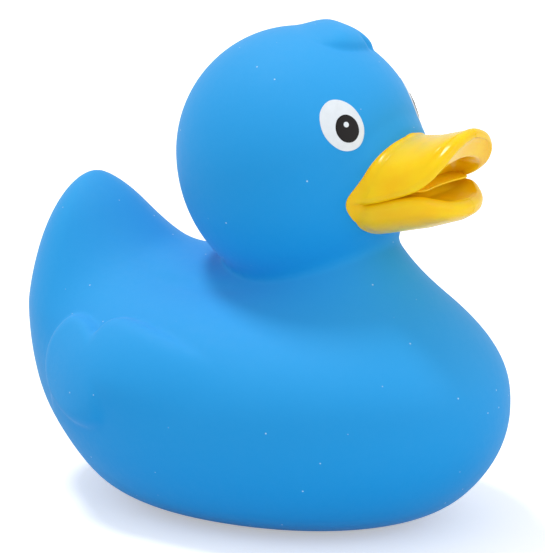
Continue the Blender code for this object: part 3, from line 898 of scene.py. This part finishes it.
# Noise fixed to the piece, with a scale in waves per metre
def objectNoise(tree, scale, detail=2.0):
    coordinates = tree.nodes.new("ShaderNodeTexCoord")
    noise = addNode(tree, "ShaderNodeTexNoise", Scale=scale, Detail=detail)
    tree.links.new(coordinates.outputs["Object"], noise.inputs["Vector"])
    return noise.outputs["Fac"]


# Value carried from one span to another in a straight line
def ramp(tree, value, low, high, toLow=0.0, toHigh=1.0):
    node = tree.nodes.new("ShaderNodeMapRange")
    tree.links.new(value, node.inputs["Value"])
    for key, number in (("From Min", low), ("From Max", high), ("To Min", toLow), ("To Max", toHigh)):
        node.inputs[key].default_value = number
    return node.outputs["Result"]


# Fine surface grain
def addBump(tree, shader, height, strength, distance):
    bump = addNode(tree, "ShaderNodeBump", Strength=strength, Distance=distance)
    tree.links.new(height, bump.inputs["Height"])
    tree.links.new(bump.outputs["Normal"], shader.inputs["Normal"])


# Vinyl: painted sheen, a lighter and hazier blue where it faces up towards the overhead light, and a few
# pale specks
vinylLook = {
    "low": (0.0, 0.3, 0.74, 1.0),
    # high is the lighter blue of the painted sheen on faces that point up; low is the blue on faces that
    # point down
    "high": (0.03, 0.37, 0.82, 1.0),
    "sheenFacing": (-0.4, 0.9),
    "cloudScale": 60.0,
    "cloudSpan": (0.35, 0.65),
    "cloudShare": 0.12,
    "speck": (0.5, 0.75, 0.95, 1.0),
    "speckShare": 0.8,
    "speckScale": 330.0,
    "speckSize": (0.03, 0.05),
    "grainScale": 900.0,
    "grainSpan": (0.3, 0.7),
    "grain": (0.12, 0.2 * mm),
    "detail": 3.0,
    "roughness": 0.68,
    "roughnessSpread": 0.04,
    "gloss": 0.25,
    "sheen": 0.12,
    "sheenRoughness": 0.4,
}


def vinylMaterial():
    material, tree, shader = newMaterial("blue_vinyl")
    # Painted sheen: the blue goes from low to the lighter high as the skin faces up towards the overhead
    # light
    sheenFacing = addNode(tree, "ShaderNodeAttribute", attribute_name="paintedSheenFacingUp")
    share = ramp(tree, sheenFacing.outputs["Fac"], *vinylLook["sheenFacing"])
    color = mixColor(tree, share, vinylLook["low"], vinylLook["high"])
    clouds = objectNoise(tree, vinylLook["cloudScale"], vinylLook["detail"])
    cloud = ramp(tree, clouds, *vinylLook["cloudSpan"], 0.0, vinylLook["cloudShare"])
    color = mixColor(tree, cloud, color, vinylLook["low"])
    coordinates = tree.nodes.new("ShaderNodeTexCoord")
    cells = addNode(tree, "ShaderNodeTexVoronoi", Scale=vinylLook["speckScale"])
    tree.links.new(coordinates.outputs["Object"], cells.inputs["Vector"])
    small, large = vinylLook["speckSize"]
    speck = ramp(tree, cells.outputs["Distance"], small, large, vinylLook["speckShare"], 0.0)
    color = mixColor(tree, speck, color, vinylLook["speck"])
    tree.links.new(color, shader.inputs["Base Color"])
    grain = objectNoise(tree, vinylLook["grainScale"], vinylLook["detail"])
    middle, spread = vinylLook["roughness"], vinylLook["roughnessSpread"]
    rough = ramp(tree, grain, *vinylLook["grainSpan"], middle - spread, middle + spread)
    tree.links.new(rough, shader.inputs["Roughness"])
    addBump(tree, shader, grain, *vinylLook["grain"])
    shader.inputs["Specular IOR Level"].default_value = vinylLook["gloss"]
    shader.inputs["Sheen Weight"].default_value = vinylLook["sheen"]
    shader.inputs["Sheen Roughness"].default_value = vinylLook["sheenRoughness"]
    return material


# Bill: yellow in two shades, glossy, with some light that spreads inside
billLook = {
    "color": (0.98, 0.65, 0.005, 1.0),
    "deeper": (0.97, 0.56, 0.002, 1.0),
    "cloudScale": 180.0,
    "cloudSpan": (0.35, 0.65),
    "grainScale": 500.0,
    "grain": (0.1, 0.3 * mm),
    "roughness": 0.22,
    "gloss": 0.25,
    "spread": {"Weight": 0.3, "Radius": (1.0, 0.6, 0.1), "Scale": 1.5 * mm},
}


def billMaterial():
    material, tree, shader = newMaterial("yellow_paint")
    cloud = ramp(tree, objectNoise(tree, billLook["cloudScale"]), *billLook["cloudSpan"])
    color = mixColor(tree, cloud, billLook["color"], billLook["deeper"])
    tree.links.new(color, shader.inputs["Base Color"])
    addBump(tree, shader, objectNoise(tree, billLook["grainScale"]), *billLook["grain"])
    for key, value in billLook["spread"].items():
        shader.inputs["Subsurface " + key].default_value = value
    shader.inputs["Roughness"].default_value = billLook["roughness"]
    shader.inputs["Specular IOR Level"].default_value = billLook["gloss"]
    return material


# Eye paints and the squeaker's plastic: color, roughness and gloss, with slightly darker clouds
paints = {
    "white_paint": ((0.8, 0.86, 0.92, 1.0), 0.4, 0.3),
    "black_paint": ((0.012, 0.01, 0.01, 1.0), 0.3, 0.15),
    "white_plastic": ((0.8, 0.8, 0.78, 1.0), 0.4, 0.5),
}
paintClouds = {
    "scale": 700.0,
    "span": (0.3, 0.7),
    "darker": 0.93,
    "grainScale": 900.0,
    "grain": (0.1, 0.2 * mm),
}


def paintMaterial(name):
    color, roughness, gloss = paints[name]
    material, tree, shader = newMaterial(name)
    cloud = ramp(tree, objectNoise(tree, paintClouds["scale"]), *paintClouds["span"])
    darker = tuple(channel * paintClouds["darker"] for channel in color[:3]) + (1.0,)
    tree.links.new(mixColor(tree, cloud, color, darker), shader.inputs["Base Color"])
    addBump(tree, shader, objectNoise(tree, paintClouds["grainScale"]), *paintClouds["grain"])
    shader.inputs["Roughness"].default_value = roughness
    shader.inputs["Specular IOR Level"].default_value = gloss
    return material


# Gives a piece its material, makes it move with the root, and hides the CAD part that it stands in for
def finish(piece, material, node="duck_body"):
    piece.data.materials.clear()
    piece.data.materials.append(material)
    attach(piece, "root")
    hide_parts(node)


vinyl = vinylMaterial()
yellow = billMaterial()
white = paintMaterial("white_paint")
black = paintMaterial("black_paint")
plastic = paintMaterial("white_plastic")

for piece in skinPieces():
    finish(piece, vinyl)
print("skin done")

bills = billRings(**upperBill), billRings(**lowerBill)
for name, rings in zip(("upper_bill", "lower_bill"), bills):
    finish(ringMesh(name, rings, rings[0].mean(axis=0), rings[-1].mean(axis=0)), yellow)
finish(rootStrip(bills), yellow)
finish(tonguePiece(), yellow)
print("bill done")

for side, word in ((-1, "right"), (1, "left")):
    finish(eyeFilm(f"eye_white_{word}", side, **eyes["white"]), white)
    finish(eyeFilm(f"pupil_{word}", side, **eyes["pupil"]), black)
    finish(eyeFilm(f"glint_{word}", side, **eyes["glint"]), white)
print("eyes done")

finish(squeakerPiece(), plastic, "squeaker")
print("squeaker done")

# Studio: a pale floor just under the base that the camera sees a little brighter than it is lit, an
# overhead light, a soft one from the front of the duck, and white surroundings
studio = {
    "floorSize": 4.0,
    "floorDrop": 0.02 * mm,
    "floor": (0.84, 0.84, 0.84, 1.0),
    "floorRoughness": 0.9,
    "floorGloss": 0.1,
    "floorSeen": 0.42,
    "worldLight": 0.73,
    "sun": {"strength": 1.3, "angle": 12.0, "from": (-0.3, -0.03, 1.0)},
    "fill": {"strength": 0.6, "angle": 50.0, "from": (1.0, 0.0, 0.35)},
}


def makeFloor():
    size, z = studio["floorSize"], -studio["floorDrop"]
    mesh = bpy.data.meshes.new("floor")
    corners = [(-size, -size, z), (size, -size, z), (size, size, z), (-size, size, z)]
    mesh.from_pydata(corners, [], [(0, 1, 2, 3)])
    floor = bpy.data.objects.new("floor", mesh)
    bpy.context.scene.collection.objects.link(floor)
    material, tree, shader = newMaterial("floor_paper")
    shader.inputs["Base Color"].default_value = studio["floor"]
    shader.inputs["Roughness"].default_value = studio["floorRoughness"]
    shader.inputs["Specular IOR Level"].default_value = studio["floorGloss"]
    shader.inputs["Emission Color"].default_value = (1.0, 1.0, 1.0, 1.0)
    path = tree.nodes.new("ShaderNodeLightPath")
    seen = addNode(tree, "ShaderNodeMath", operation="MULTIPLY")
    seen.inputs[1].default_value = studio["floorSeen"]
    tree.links.new(path.outputs["Is Camera Ray"], seen.inputs[0])
    tree.links.new(seen.outputs[0], shader.inputs["Emission Strength"])
    mesh.materials.append(material)


# A light from far away, with soft shadows from its angle
def makeLight(name):
    values = studio[name]
    light = bpy.data.lights.new(name, "SUN")
    light.energy = values["strength"]
    light.angle = math.radians(values["angle"])
    lamp = bpy.data.objects.new(name, light)
    lamp.rotation_euler = (-Vector(values["from"])).to_track_quat("-Z", "Y").to_euler()
    bpy.context.scene.collection.objects.link(lamp)


def makeWorld():
    world = bpy.data.worlds.new("studio")
    bpy.context.scene.world = world
    world.use_nodes = True
    tree = world.node_tree
    tree.nodes.clear()
    light = addNode(tree, "ShaderNodeBackground", Color=(1.0, 1.0, 1.0, 1.0), Strength=studio["worldLight"])
    seen = addNode(tree, "ShaderNodeBackground", Color=(1.0, 1.0, 1.0, 1.0), Strength=1.0)
    path = tree.nodes.new("ShaderNodeLightPath")
    mix = tree.nodes.new("ShaderNodeMixShader")
    output = tree.nodes.new("ShaderNodeOutputWorld")
    tree.links.new(path.outputs["Is Camera Ray"], mix.inputs[0])
    tree.links.new(light.outputs[0], mix.inputs[1])
    tree.links.new(seen.outputs[0], mix.inputs[2])
    tree.links.new(mix.outputs[0], output.inputs["Surface"])


# Camera: the photo's viewing angle in degrees, the point looked at, its distance, and the lens
view = {
    "azimuth": 29.94,
    "elevation": 14.65,
    "target": (1.71, 0.0, 34.83),
    "distance": 480.0,
    "lens": 211.8,
    "sensor": 36.0,
    "clipStart": 0.01,
}


def makeCamera():
    a, e = math.radians(view["azimuth"]), math.radians(view["elevation"])
    back = Vector((math.sin(a) * math.cos(e), -math.cos(a) * math.cos(e), math.sin(e)))
    data = bpy.data.cameras.new("camera")
    data.sensor_fit = "HORIZONTAL"
    data.sensor_width = view["sensor"]
    data.lens = view["lens"]
    data.clip_start = view["clipStart"]
    camera = bpy.data.objects.new("camera", data)
    camera.location = (Vector(view["target"]) + back * view["distance"]) * mm
    camera.rotation_euler = (-back).to_track_quat("-Z", "Y").to_euler()
    bpy.context.scene.collection.objects.link(camera)
    bpy.context.scene.camera = camera


makeFloor()
makeLight("sun")
makeLight("fill")
makeWorld()
makeCamera()
bpy.context.scene.view_settings.view_transform = "Standard"
print("studio done")
